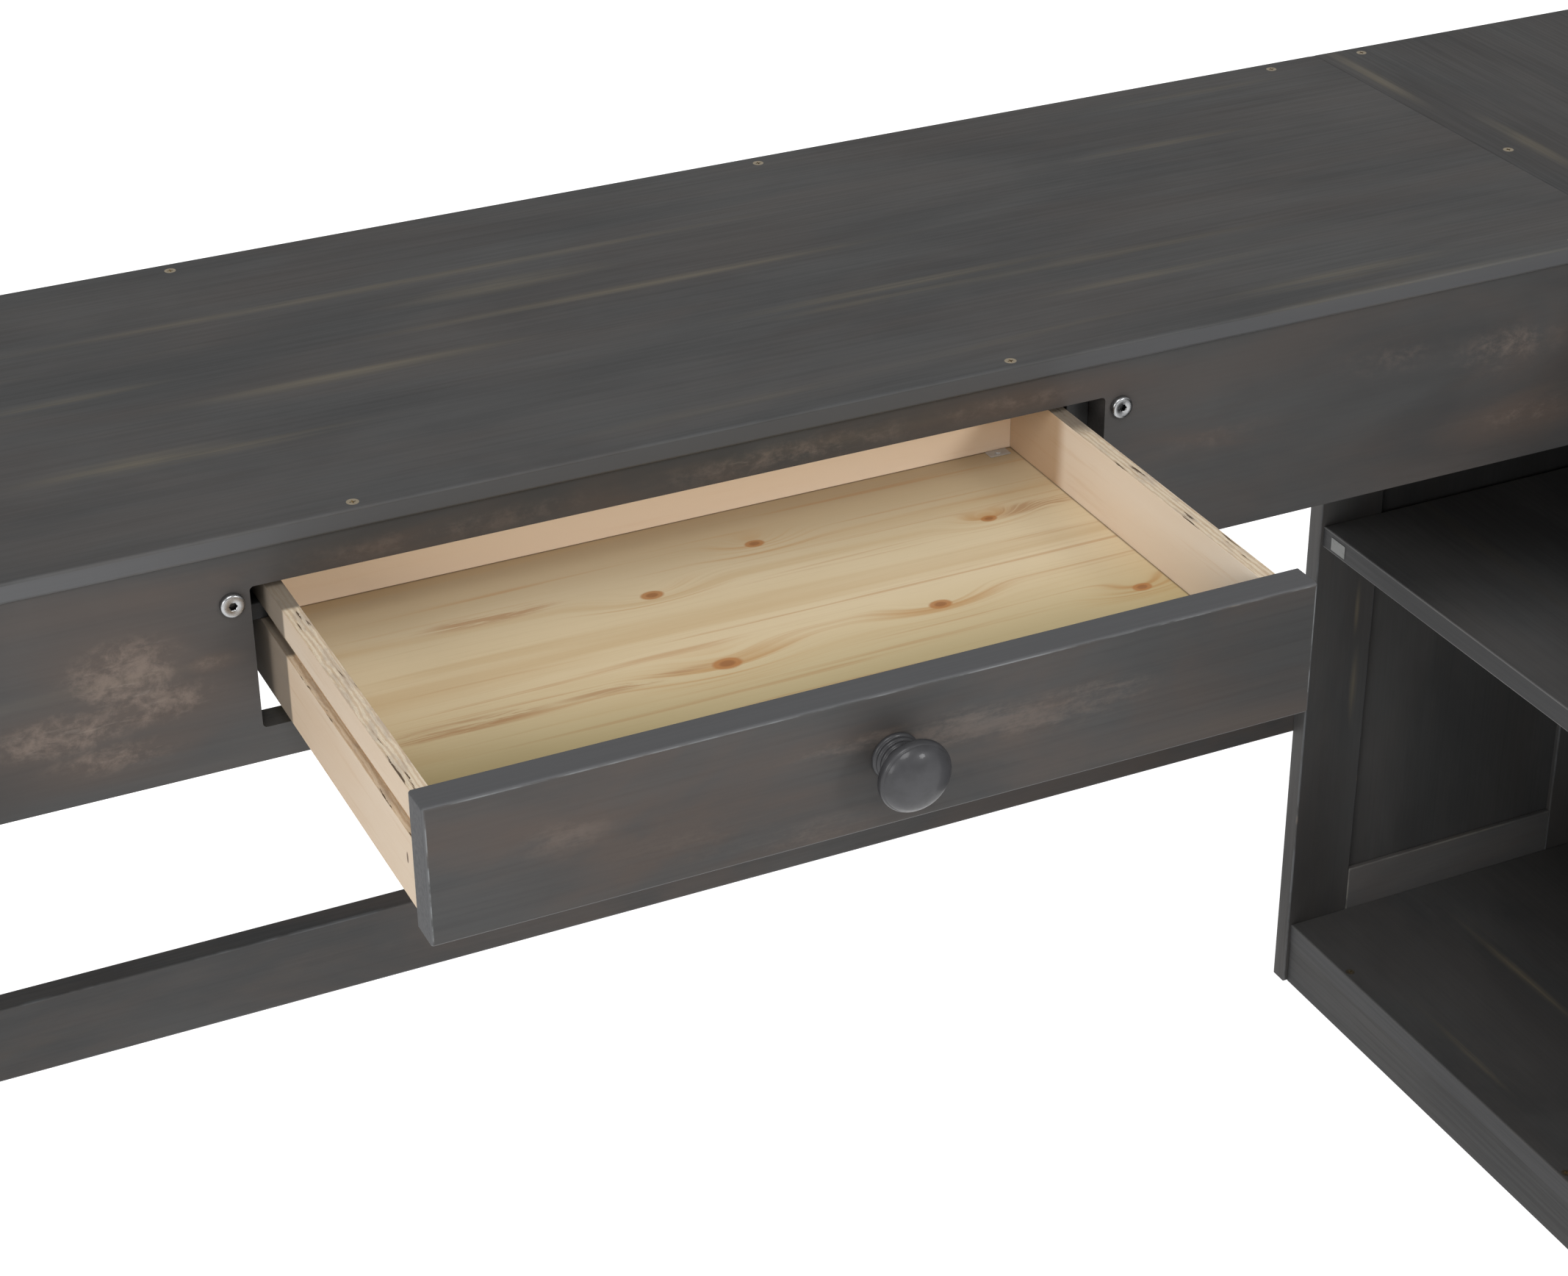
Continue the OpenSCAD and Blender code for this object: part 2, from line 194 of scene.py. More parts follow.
    def bump(self, height, strength, distance, under=None):
        n = self.new("ShaderNodeBump")
        n.inputs["Strength"].default_value = strength
        n.inputs["Distance"].default_value = distance
        self.put(n.inputs["Height"], height)
        if under is not None:
            self.put(n.inputs["Normal"], under)
        return n.outputs[0]

    def finish(self, color, roughness, normal=None, **constants):
        self.put(self.bsdf.inputs["Base Color"], color)
        self.put(self.bsdf.inputs["Roughness"], roughness)
        if normal is not None:
            self.put(self.bsdf.inputs["Normal"], normal)
        for k, v in constants.items():
            self.bsdf.inputs[k.replace("_", " ")].default_value = v
        return self.mat


# ---------------------------------------------------------------- the stained finish
# All colours are linear red, green and blue.
STAIN_DARK = (0.0435, 0.0440, 0.0445)
STAIN_LIGHT = (0.0635, 0.0635, 0.0630)
STAIN_WARM = (0.080, 0.0625, 0.0530)
STREAK_OCHRE = (0.160, 0.136, 0.092)
RUBBED_WOOD = (0.200, 0.155, 0.126)
SCRATCHED_WOOD = (0.230, 0.195, 0.165)
ARRIS_WEAR_AND_HIGHLIGHT = (0.085, 0.088, 0.092)
ARRIS_WOOD = (0.20, 0.165, 0.13)
BAND_GREY = (0.067, 0.068, 0.071)


def stained(name, grain, seed, tone=1.0, brown=0.35, lines=0.8, rim=ARRIS_WEAR_AND_HIGHLIGHT, band_tone=1.0,
            streaks=(), streak_amount=0.5, streak_width=1.0, stray=0.2,
            patches=(), patch_amount=0.0, blob=(70, 95), painted_shades=()):
    """Charcoal stain over pine: soft mottling, faint grain, thin ochre streaks along the grain, and patches and
    arrises rubbed through to pinkish-brown wood. Streaks are (centre, radii), patches (centre, radii, weight) and
    painted_shades, spots of painted shade, (centre, radii, amount), all in millimetres from the seam."""
    t = Tree(name, grain, (seed * 0.73, seed * 1.31, seed * 0.47))
    fibre = t.grain_noise(9, 420, 5, 0.6)
    figure = t.grain_noise(1.6, 20, 4, 0.5, 0.7)
    cloud = t.grain_noise(5, 13, 5, 0.6, 0.4)
    tint = t.grain_noise(4.5, 14, 5, 0.6, 0.5)

    dark = scaled(STAIN_DARK, tone)
    color = t.mix(t.ramp(cloud, 0.30, 0.70), dark, scaled(STAIN_LIGHT, tone))
    color = t.mix(t.ramp(fibre, 0.38, 0.75, 0.0, 0.16 * lines), color, scaled(dark, 0.75))
    color = t.mix(t.ramp(figure, 0.52, 0.70, 0.0, 0.22 * lines), color, scaled(dark, 0.80))
    halo = t.times(t.ramp(tint, 0.36, 0.66), brown)
    if patches:
        near = t.most(*[t.spot_mm(c, radii, 1.7) for c, radii, _ in patches])
        halo = t.plus(halo, t.times(near, t.ramp(tint, 0.34, 0.60, 0.10, 0.75)), clamp=True)
    color = t.mix(halo, color, scaled(STAIN_WARM, tone))

    # ochre streaks: thin, long, broken up
    where = t.ramp(t.grain_noise(1.7, 34, 2, 0.5), 0.64, 0.76, 0.0, stray)
    if streaks:
        where = t.most(where, t.most(*[t.spot_mm(c, radii, streak_width) for c, radii in streaks]))
    thin = t.times(t.ramp(t.grain_noise(3.5, 190, 3, 0.55, 0.1), 0.32, 0.60), 0.60)
    thin = t.plus(thin, t.ramp(tint, 0.42, 0.62, 0.10, 0.40))
    color = t.mix(t.times(thin, where, streak_amount, clamp=True), color, STREAK_OCHRE)

    # patches rubbed through to the wood: small blobs and scratches inside soft outlines
    rub = None
    if patches:
        blobs = t.grain_noise(*blob, 6, 0.70, 0.35)
        speck = t.grain_noise(230, 300, 3, 0.7)
        shape = t.most(*[t.times(t.spot_mm(c, radii, 1.2), weight) for c, radii, weight in patches])
        level = t.plus(t.times(blobs, 0.72), t.times(speck, 0.28), t.times(shape, 0.10))
        rub = t.times(t.ramp(level, 0.47, 0.72), t.ramp(shape, 0.0, 0.7), patch_amount, clamp=True)
        color = t.mix(rub, color, RUBBED_WOOD)
        scratch = t.ramp(t.grain_noise(55, 300, 4, 0.6, 0.8), 0.56, 0.72, 0.0, 0.4)
        scratch = t.times(scratch, t.ramp(shape, 0.1, 0.7), patch_amount, clamp=True)
        color = t.mix(scratch, color, SCRATCHED_WOOD)

    # painted shade: each spot in painted_shades darkens the colour to stand in for shade
    for centre, radii, amount in painted_shades:
        color = t.mix(t.spot_mm(centre, radii), color, (1 - amount,) * 3, "MULTIPLY")

    # arrises paler, slightly blue grey, partly from wear and partly as a painted highlight, and here and there worn
    # to wood
    arris = t.attribute("arris")
    wear_and_highlight = t.times(arris, t.ramp(t.grain_noise(26, 60, 4, 0.6), 0.40, 0.60, 0.10, 0.85))
    color = t.mix(wear_and_highlight, color, rim)
    bare = t.times(arris, t.ramp(t.grain_noise(34, 34, 3), 0.66, 0.76), 0.5)
    color = t.mix(bare, color, ARRIS_WOOD)
    # the narrow edge faces take the stain smoothly
    color = t.mix(t.times(t.attribute("band"), 0.9), color, scaled(BAND_GREY, band_tone))

    rough = t.ramp(fibre, 0.3, 0.8, 0.50, 0.66)
    if rub is not None:
        rough = t.plus(rough, t.times(rub, 0.12))
    normal = t.bump(figure, 0.05, 0.002, t.bump(fibre, 0.08, 0.0005))
    return t.finish(color, rough, normal, Specular_IOR_Level=0.28)


# ---------------------------------------------------------------- raw plywood and pine
VENEER = ((0.60, 0.465, 0.335), (0.640, 0.535, 0.420))
VENEER_FIBRE = (0.50, 0.33, 0.19)
VENEER_WARM = (0.92, 0.62, 0.41)
PAINTED_SHADOW_TINT = (0.62, 0.52, 0.42)
PLIES = ((0.66, 0.56, 0.42), (0.55, 0.43, 0.30))
PLY_FIBRE = (0.36, 0.25, 0.15)
PLY_GLUE = (0.30, 0.19, 0.11)
PLY_GRIME = (0.36, 0.30, 0.25)
PLY_VOID = (0.060, 0.035, 0.018)
GROOVE_WOOD = ((0.50, 0.30, 0.15), (0.62, 0.42, 0.25))
REAR_DARKENING = ((0.070, 0.062, 0.054), (0.17, 0.135, 0.10))
PLY_LAYERS = 7.0


def plywood(name, across_axis, lo, hi, grain, seed, warm=0.0, painted_light_gain=(1, 1, 1), stain=None, painted_shadow_y=None, holes=()):
    """Birch veneer on the faces; plies, glue lines and voids on the edges. painted_light_gain multiplies the veneer
    with painted light, lighter or darker board by board. Behind the line given as stain (place, softness) the
    outside is darker; behind painted_shadow_y the faces take a painted shadow."""
    t = Tree(name, grain, (seed * 0.61, seed * 0.37, seed * 0.89))
    fibre = t.grain_noise(12, 260, 5, 0.6)
    cloud = t.grain_noise(2.5, 14, 4, 0.5, 0.5)
    face = t.mix(t.ramp(cloud, 0.3, 0.72), *VENEER)
    face = t.mix(t.ramp(fibre, 0.52, 0.78, 0.0, 0.35), face, VENEER_FIBRE)
    face = t.mix(warm, face, VENEER_WARM)
    # painted light: painted_light_gain lightens or darkens each board's veneer to stand in for the light on it
    face = t.mix(1.0, face, painted_light_gain, "MULTIPLY")
    # painted shadow: behind painted_shadow_y the veneer darkens to stand in for the main top's shadow
    if painted_shadow_y is not None:
        in_painted_shadow = t.ramp(t.plus(t.axis(1), t.times(cloud, 0.006)), painted_shadow_y, painted_shadow_y + 0.014)
        face = t.mix(in_painted_shadow, face, PAINTED_SHADOW_TINT, "MULTIPLY")

    # the edge's layers, wavy as a saw leaves them
    wave = t.times(t.grain_noise(20, 60, 6, 0.75), 0.80)
    depth = t.ramp(t.axis("xyz".index(across_axis)), lo, hi, 0.0, 1.0, False)
    layer = t.times(t.plus(depth, wave), PLY_LAYERS)
    even = t.math("PINGPONG", layer, 1.0)
    glue = t.ramp(t.math("ABSOLUTE", t.math("SUBTRACT", t.math("FRACT", layer), 0.5)), 0.40, 0.50)
    coarse = t.grain_noise(60, 900, 4, 0.65)
    gap = t.times(t.ramp(t.grain_noise(34, 420, 2, 0.5), 0.615, 0.66), t.ramp(even, 0.38, 0.55))
    grime = t.grain_noise(42, 160, 5, 0.7)
    edge = t.mix(t.ramp(even, 0.30, 0.70), *PLIES)
    edge = t.mix(t.ramp(coarse, 0.50, 0.75, 0.0, 0.6), edge, PLY_FIBRE)
    edge = t.mix(t.times(glue, 0.25), edge, PLY_GLUE)
    edge = t.mix(t.ramp(grime, 0.50, 0.64, 0.0, 0.42), edge, PLY_GRIME)
    edge = t.mix(t.times(gap, 0.92), edge, PLY_VOID)

    side = t.attribute("ply_edge")
    color = t.mix(side, face, edge)
    raw = t.ramp(t.grain_noise(10, 300), 0.35, 0.7)
    color = t.mix(t.times(t.attribute("groove"), 0.85), color, t.mix(raw, *GROOVE_WOOD))
    for place, radii, shade in holes:
        torn = t.plus(t.spot_mm(place, radii), t.times(coarse, 0.5))
        color = t.mix(t.ramp(torn, 0.62, 0.95, 0.0, 0.9), color, shade)
    # the outside behind the line is made darker
    if stain is not None:
        line, soft = stain
        behind = t.times(t.ramp(t.axis(1), line - soft, line + soft), t.attribute("outside"), 0.84)
        color = t.mix(behind, color, t.mix(coarse, *REAR_DARKENING))
    height = t.plus(t.times(fibre, 0.4), t.times(coarse, side))
    height = t.math("SUBTRACT", height, t.times(gap, side, 2.0))
    return t.finish(color, t.ramp(coarse, 0.3, 0.8, 0.62, 0.78), t.bump(height, 0.22, 0.0007),
                    Specular_IOR_Level=0.3)


PINE = ((0.62, 0.485, 0.290), (0.71, 0.585, 0.390))
PINE_FRONT_SHADE = (0.45, 0.335, 0.170)
PINE_BACK_SHADE = (0.36, 0.265, 0.175)
PINE_FIGURE = (0.54, 0.375, 0.195)
PINE_LINE = (0.48, 0.275, 0.130)
PINE_FIBRE = (0.50, 0.36, 0.19)
PINE_RING = (0.50, 0.275, 0.105)
PINE_WISP = (0.40, 0.205, 0.090)
PINE_KNOT = (0.43, 0.185, 0.058)
PINE_KNOT_EYE = (0.25, 0.10, 0.035)
PINE_JOINT = (0.16, 0.10, 0.055)
GREENER_FRONT_SHADE = (0.84, 0.89, 0.76)
GREENER_CORNER_SHADE = (0.66, 0.64, 0.55)
# half the height of a spot on the pine, in metres
THROUGH = 0.05


def knotty_pine(name, knots, wisps):
    """Pale yellow pine: streaks that flow round orange-brown knots (x, y, radius), and reddish wisps (x, y, half
    length, half width)."""
    t = Tree(name)
    eye = t.most(*[t.spot(on_base(x, y), (r * 1.25 * MM, r * 0.85 * MM, THROUGH), 0.15) for x, y, r in knots])
    near = t.most(*[t.spot(on_base(x, y), (r * 7 * MM, r * 2.6 * MM, THROUGH)) for x, y, r in knots])
    wisp = t.most(*[t.spot(on_base(x, y), (w * MM, h * MM, THROUGH), 0.4) for x, y, w, h in wisps])
    warp = t.new("ShaderNodeCombineXYZ")
    t.put(warp.inputs[1], t.times(near, 0.012))
    moved = t.new("ShaderNodeVectorMath", operation="ADD")
    t.put(moved.inputs[0], t.pos)
    t.put(moved.inputs[1], warp.outputs[0])
    pos = moved.outputs[0]
    y = t.axis(1)

    figure = t.noise(t.stretch((2.1, 34, 5), (0.2, 0.9, 0), pos), 4, 0.5, 0.9)
    lines = t.noise(t.stretch((3.0, 150, 5), (0.7, 0.1, 0), pos), 4, 0.55, 0.4)
    fibre = t.noise(t.stretch((14, 700, 5), (0.3, 0.3, 0), pos), 4, 0.6)
    torn = t.noise(t.stretch((18, 240, 5), (0.1, 0.6, 0), pos), 5, 0.65, 0.8)
    cloud = t.noise(t.stretch((1.4, 7, 3), (0.5, 0.2, 0)), 3, 0.5)
    color = t.mix(t.ramp(cloud, 0.32, 0.68), *PINE)
    # painted shade: darker towards the front, under the drawer front, and along the back, under the main top
    color = t.mix(t.ramp(y, front_hi.y, front_hi.y + 0.130, 0.90, 0.0), color, PINE_FRONT_SHADE)
    color = t.mix(t.ramp(y, back_lo.y - 0.090, back_lo.y - 0.005, 0.0, 0.50), color, PINE_BACK_SHADE)
    color = t.mix(t.ramp(figure, 0.50, 0.68, 0.0, 0.45), color, PINE_FIGURE)
    color = t.mix(t.ramp(lines, 0.56, 0.70, 0.0, 0.55), color, PINE_LINE)
    color = t.mix(t.ramp(fibre, 0.50, 0.80, 0.0, 0.25), color, PINE_FIBRE)
    color = t.mix(t.times(near, t.ramp(lines, 0.46, 0.62, 0.0, 0.75)), color, PINE_RING)
    color = t.mix(t.times(wisp, t.ramp(torn, 0.40, 0.56), 0.62, clamp=True), color, PINE_WISP)
    # painted shade, tinted greener, towards the front, above all in its left corner
    color = t.mix(t.ramp(y, front_hi.y, front_hi.y + 0.140, 1.0, 0.0), color, GREENER_FRONT_SHADE, "MULTIPLY")
    color = t.mix(t.spot(on_base(-860, -530), (0.26, 0.14, THROUGH)), color, GREENER_CORNER_SHADE, "MULTIPLY")
    color = t.mix(t.ramp(eye, 0.18, 0.55, 0.0, 0.85), color, PINE_KNOT)
    color = t.mix(t.ramp(eye, 0.75, 0.98, 0.0, 0.6), color, PINE_KNOT_EYE)
    # the dark joint under the right side and the back
    joint = t.most(t.ramp(t.axis(0), side_r_lo.x - 1.3 * MM, side_r_lo.x - 0.3 * MM),
                   t.ramp(y, back_lo.y - 1.3 * MM, back_lo.y - 0.3 * MM))
    color = t.mix(t.times(joint, 0.65), color, PINE_JOINT)
    height = t.plus(fibre, t.times(lines, 0.6))
    return t.finish(color, t.ramp(lines, 0.3, 0.8, 0.50, 0.62), t.bump(height, 0.12, 0.0006),
                    Specular_IOR_Level=0.35)


# ---------------------------------------------------------------- metal, lacquer and paper
def zinc(name, base, rough, metallic=1.0, recess=None):
    """Plated steel with faint grime; the faces of the recess attribute are dark."""
    t = Tree(name)
    grime = t.even_noise(260, 4, 0.6)
    fine = t.even_noise(1500, 3, 0.6)
    color = t.mix(t.ramp(grime, 0.45, 0.75, 0.0, 0.30), base, scaled(base, 0.6))
    if recess:
        color = t.mix(t.attribute(recess), color, (0.035, 0.035, 0.036))
    return t.finish(color, t.ramp(grime, 0.3, 0.75, rough - 0.04, rough + 0.10), t.bump(fine, 0.04, 0.0002),
                    Metallic=metallic)


def lacquer(name):
    t = Tree(name)
    cloud = t.even_noise(60, 4, 0.55)
    fine = t.noise(t.stretch((420, 90, 420)), 4, 0.6)
    color = t.mix(t.ramp(cloud, 0.35, 0.7), (0.028, 0.028, 0.030), (0.041, 0.041, 0.044))
    return t.finish(color, t.ramp(fine, 0.3, 0.8, 0.36, 0.48), t.bump(fine, 0.04, 0.0004),
                    Specular_IOR_Level=0.22, Coat_Weight=0.14, Coat_Roughness=0.12)


def paper(name):
    t = Tree(name)
    tooth = t.even_noise(2600, 4, 0.6)
    scuff = t.noise(t.stretch((160, 260, 260)), 3, 0.6)
    color = t.mix(t.ramp(scuff, 0.5, 0.75, 0.0, 0.5), (0.205, 0.21, 0.205), (0.115, 0.117, 0.115))
    return t.finish(color, 0.62, t.bump(tooth, 0.15, 0.0002))


# ---------------------------------------------------------------- meshes
def show(name, bm, mat, body, nodes, smooth_angle=35, weighted=True):
    """Turns a bmesh into a piece that rides on a body and stands for CAD nodes."""
    me = bpy.data.meshes.new(name)
    for f in bm.faces:
        f.smooth = True
    bm.normal_update()
    bm.to_mesh(me)
    bm.free()
    me.set_sharp_from_angle(angle=math.radians(smooth_angle))
    ob = bpy.data.objects.new(name, me)
    scene.collection.objects.link(ob)
    me.materials.append(mat)
    if weighted:
        w = ob.modifiers.new("flat faces", "WEIGHTED_NORMAL")
        w.keep_sharp = True
    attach(ob, body)
    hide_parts(*nodes)


def cad_bmesh(node):
    """The CAD node's shape with its coplanar triangles joined into faces."""
    bm = bmesh.new()
    bm.from_mesh(NODES[node].data)
    bmesh.ops.remove_doubles(bm, verts=bm.verts, dist=2e-6)
    bmesh.ops.dissolve_limit(bm, angle_limit=math.radians(0.5), use_dissolve_boundaries=False,
                             verts=bm.verts[:], edges=bm.edges[:], delimit=set())
    return bm


def sharp_edge(e, degrees):
    return len(e.link_faces) == 2 and e.is_convex and e.calc_face_angle(0) > math.radians(degrees)


def rounded_off(bm, edges, width, segments):
    """Rounds edges and returns the faces made."""
    return bmesh.ops.bevel(bm, geom=edges, offset=width, offset_type="OFFSET", segments=segments,
                           profile=0.5, affect="EDGES", clamp_overlap=True)["faces"]


def eased(node, width, segments=3, longest=0.02, choose=None, wear_and_highlight=1.0):
    """A CAD node with its long convex edges rounded, the rounded faces marked as arris."""
    bm = cad_bmesh(node)
    layer = bm.faces.layers.float.new("arris")
    edges = [e for e in bm.edges
             if sharp_edge(e, 50) and e.calc_length() > longest and (choose is None or choose(e))]
    if edges:
        for f in rounded_off(bm, edges, width, segments):
            f[layer] = wear_and_highlight
    return bm


def mark_band(bm, test):
    """Marks the flat faces that pass the test as band."""
    band = bm.faces.layers.float.new("band")
    arris = bm.faces.layers.float.get("arris")
    bm.normal_update()
    for f in bm.faces:
        if f[arris] == 0 and test(f):
            f[band] = 1.0


def upright(f):
    return abs(f.normal.z) < 0.1


def board(node, mat, width=1.2 * MM, segments=3, band=None, choose=None, wear_and_highlight=1.0):
    """A stained board of the desk."""
    bm = eased(node, width, segments, choose=choose, wear_and_highlight=wear_and_highlight)
    mark_band(bm, band or (lambda f: False))
    show("look_" + node, bm, mat, "desk", [node])


def lathe(profile, place, steps):
    """Turns (radius, height) points about a local axis; place is the matrix to the row frame."""
    bm = bmesh.new()
    rings = []
    for r, h in profile:
        if r < 1e-7:
            rings.append([bm.verts.new(place @ Vector((0, 0, h)))])
        else:
            rings.append([bm.verts.new(place @ Vector((r * math.cos(a), r * math.sin(a), h)))
                          for a in (2 * math.pi * i / steps for i in range(steps))])
    for lower, upper in zip(rings, rings[1:]):
        for i in range(steps):
            j = (i + 1) % steps
            if len(lower) == 1 and len(upper) > 1:
                bm.faces.new((lower[0], upper[j], upper[i]))
            elif len(upper) == 1 and len(lower) > 1:
                bm.faces.new((lower[i], lower[j], upper[0]))
            elif len(upper) > 1:
                bm.faces.new((lower[i], lower[j], upper[j], upper[i]))
    bmesh.ops.recalc_face_normals(bm, faces=bm.faces)
    return bm


def corners_cut(points, rounds):
    """Smooths a profile by cutting its corners, keeping its two ends."""
    for _ in range(rounds):
        out = [points[0]]
        for a, b in zip(points, points[1:]):
            out.append((a[0] * 0.75 + b[0] * 0.25, a[1] * 0.75 + b[1] * 0.25))
            out.append((a[0] * 0.25 + b[0] * 0.75, a[1] * 0.25 + b[1] * 0.75))
        out.append(points[-1])
        points = out
    return points


def facing_out(x, y, z):
    """The matrix to a place from axes whose Z points out of the desk's front."""
    return Matrix.Translation((x, y, z)) @ Matrix.Rotation(math.radians(90), 4, "X")


# ---------------------------------------------------------------- the two tops
TOP_Z = 762
top_mat = stained(
    "stain_main_top", "x", 1, tone=0.99, brown=0.26, lines=0.5, streak_amount=0.54, stray=0.5, streak_width=1.3,
    streaks=[((x, y, TOP_Z), (half_length, half_width, 30)) for x, y, half_length, half_width in (
        (-704, -88, 230, 5), (-560, -155, 170, 5), (-858, -256, 95, 5), (-900, -250, 60, 9),
        (-758, -195, 100, 7), (-286, -274, 80, 5), (-194, -324, 80, 8), (-185, -97, 70, 4),
        (-917, -159, 60, 5), (-430, -222, 120, 5), (-1040, -120, 110, 4), (-640, -118, 70, 10))])
return_mat = stained(
    "stain_return_top", "y", 2, tone=0.84, brown=0.22, lines=0.6, streak_amount=0.60, stray=0.4, streak_width=1.25,
    streaks=[((x, y, TOP_Z), (half_width, half_length, 30)) for x, y, half_width, half_length in (
        (12, -51, 7, 66), (31, -199, 7, 64), (140, -420, 7, 160), (250, -700, 6, 160), (90, -640, 5, 120))])


def along_x(e):
    return abs(e.verts[0].co.x - e.verts[1].co.x) > 0.01


# the seam between the tops stays sharp where they touch
board("main_top", top_mat, width=1.8 * MM, segments=4, band=upright, wear_and_highlight=0.25,
      choose=lambda e: max(v.co.x for v in e.verts) < seam_x - 0.0005 or along_x(e))
board("return_top", return_mat, width=1.8 * MM, segments=4, band=upright, wear_and_highlight=0.25,
      choose=lambda e: min(v.co.x for v in e.verts) > seam_x + 0.0005 or along_x(e) or
      min(v.co.y for v in e.verts) < top_lo.y - 0.01)

# ---------------------------------------------------------------- aprons, rails and beam
APRON_Y = -348
# painted shade: painted_shades darkens the apron towards its left end, most near the bottom
apron_mat = stained(
    "stain_front_apron", "x", 3, tone=0.80, brown=0.40, streak_amount=0.3, stray=0.3, patch_amount=0.48,
    painted_shades=[((-1015, APRON_Y, 638), (75, 60, 42), 0.30), ((-1130, APRON_Y, 690), (420, 80, 170), 0.18)],
    patches=[((x, APRON_Y, z), (half_length, 30, half_height), weight)
             for x, z, half_length, half_height, weight in (
                 (-940, 695, 40, 26, 1.0), (-975, 668, 50, 16, 1.0), (-925, 674, 40, 16, 1.0),
                 (-950, 648, 46, 12, 0.7), (-170, 712, 60, 18, 0.3), (-84, 703, 60, 22, 0.45),
                 (-66, 655, 50, 14, 0.4), (-290, 688, 60, 10, 0.3), (-895, 690, 16, 7, 0.6),
                 (-760, 736, 190, 11, 0.35), (-560, 737, 120, 12, 0.55), (-430, 738, 90, 10, 0.4))])
board("front_apron", apron_mat, width=2.2 * MM, segments=5, wear_and_highlight=0.15)
board("rear_beam", stained("stain_rear_beam", "x", 4, tone=0.88, brown=0.75, streak_amount=0.3),
      width=1.5 * MM)
board("rear_rail", stained("stain_rear_rail", "x", 5, tone=0.8, brown=0.3))
board("return_apron", stained("stain_return_apron", "y", 6, tone=0.85, brown=0.5))
board("wall_rail", stained("stain_wall_rail", "y", 7, tone=0.85, brown=0.35))
inside_mat = stained("stain_inside", "y", 8, tone=0.6, brown=0.25, streak_amount=0.2)
for node in ("seam_batten", "partition_left", "partition_right", "shelf_cleat"):
    board(node, inside_mat, width=0.8 * MM)

# ---------------------------------------------------------------- end frames
# painted shade: painted_shades darkens the stiles low down near the seam
stile_mat = stained("stain_stiles", "z", 9, tone=1.00, brown=0.25, streak_amount=0.6, stray=0.3,
                    painted_shades=[((20, -33, 90), (80, 60, 190), 0.50)],
                    streaks=[((57, -33, 262), (5, 20, 42)), ((54, -33, 330), (3, 20, 30))])
low_rail_mat = stained("stain_low_rail", "x", 10, tone=1.8, brown=0.25, rim=(0.17, 0.165, 0.15),
                       streaks=[((180, -33, 92), (60, 20, 3))])
frame_rail_mat = stained("stain_frame_rails", "x", 17, tone=1.0, brown=0.25, streak_amount=0.4)
left_rail_mat = stained("stain_left_rails", "y", 11, tone=0.85)
panel_mat = stained("stain_panels", "z", 12, tone=1.0, brown=0.15, streak_amount=0.25)
for node in ("left_stile_front", "left_stile_rear", "rear_stile_inner", "rear_stile_outer",
             "near_stile_inner", "near_stile_outer"):
    board(node, stile_mat)
board("rear_frame_rail_bottom", low_rail_mat, width=1.0 * MM)
for node in ("rear_frame_rail_top", "near_rail_top", "near_rail_bottom"):
    board(node, frame_rail_mat, width=1.0 * MM)
for node in ("left_rail_top", "left_rail_bottom"):
    board(node, left_rail_mat, width=1.0 * MM)
for node in ("left_panel", "rear_panel", "near_panel", "case_back"):
    board(node, panel_mat, width=0.5 * MM, segments=2)

# ---------------------------------------------------------------- bookcase
# painted light: tone 1.15 and 2.4 lighten the shelves' colour to stand in for light reaching inside the case; their
# edge bands keep band_tone
shelf_mat = stained("stain_bottom_shelf", "y", 13, tone=1.15, brown=0.15, streak_amount=0.9, stray=0.3,
                    band_tone=0.50, streaks=[((139, -165, 54), (6, 105, 12)), ((43.5, -225, 54), (4, 80, 12)),
                                             ((103, -560, 54), (6, 110, 12))])
mid_mat = stained("stain_mid_shelf", "y", 16, tone=2.4, brown=0.10, streak_amount=0.9, stray=0.3,
                  band_tone=0.38, streaks=[((150, -230, 408), (5, 70, 12)), ((200, -330, 408), (5, 80, 12))])
kick_mat = stained("stain_kick", "y", 14, tone=0.56, brown=0.15)
board("mid_shelf", mid_mat, band=upright, wear_and_highlight=0.12)
# the bottom shelf's edge and the boards under it read as one face, so the joint between them stays sharp
board("bottom_shelf", shelf_mat, width=1.5 * MM, band=upright, wear_and_highlight=0.12,
      choose=lambda e: max(v.co.z for v in e.verts) > shelf_underside + 1e-5)
for node in ("kick_board", "wall_kick_board"):
    board(node, kick_mat, width=1.0 * MM, wear_and_highlight=0.5,
          choose=lambda e: min(v.co.z for v in e.verts) < shelf_underside - 1e-5)
board("blank_label", paper("sticker_paper"), width=0.12 * MM, segments=2)

# ---------------------------------------------------------------- drawer
FRONT_Y = -580
# painted shade: painted_shades darkens the drawer front towards its right end and in a softer spot further left
front_mat = stained(
    "stain_drawer_front", "x", 15, tone=0.67, brown=0.88, streak_amount=0.3, stray=0.35,
    rim=(0.145, 0.152, 0.156), band_tone=1.15, blob=(22, 120), patch_amount=0.22,
    painted_shades=[((-385, FRONT_Y, 690), (190, 60, 90), 0.40), ((-720, FRONT_Y, 662), (170, 60, 60), 0.18)],
    patches=[((x, FRONT_Y, z), (half_length, 30, half_height), weight)
             for x, z, half_length, half_height, weight in (
                 (-725, 668, 80, 22, 0.35), (-585, 694, 56, 14, 1.0), (-640, 700, 50, 9, 0.8),
                 (-520, 690, 70, 15, 1.0), (-666, 656, 70, 12, 0.5), (-790, 690, 40, 16, 0.5))])


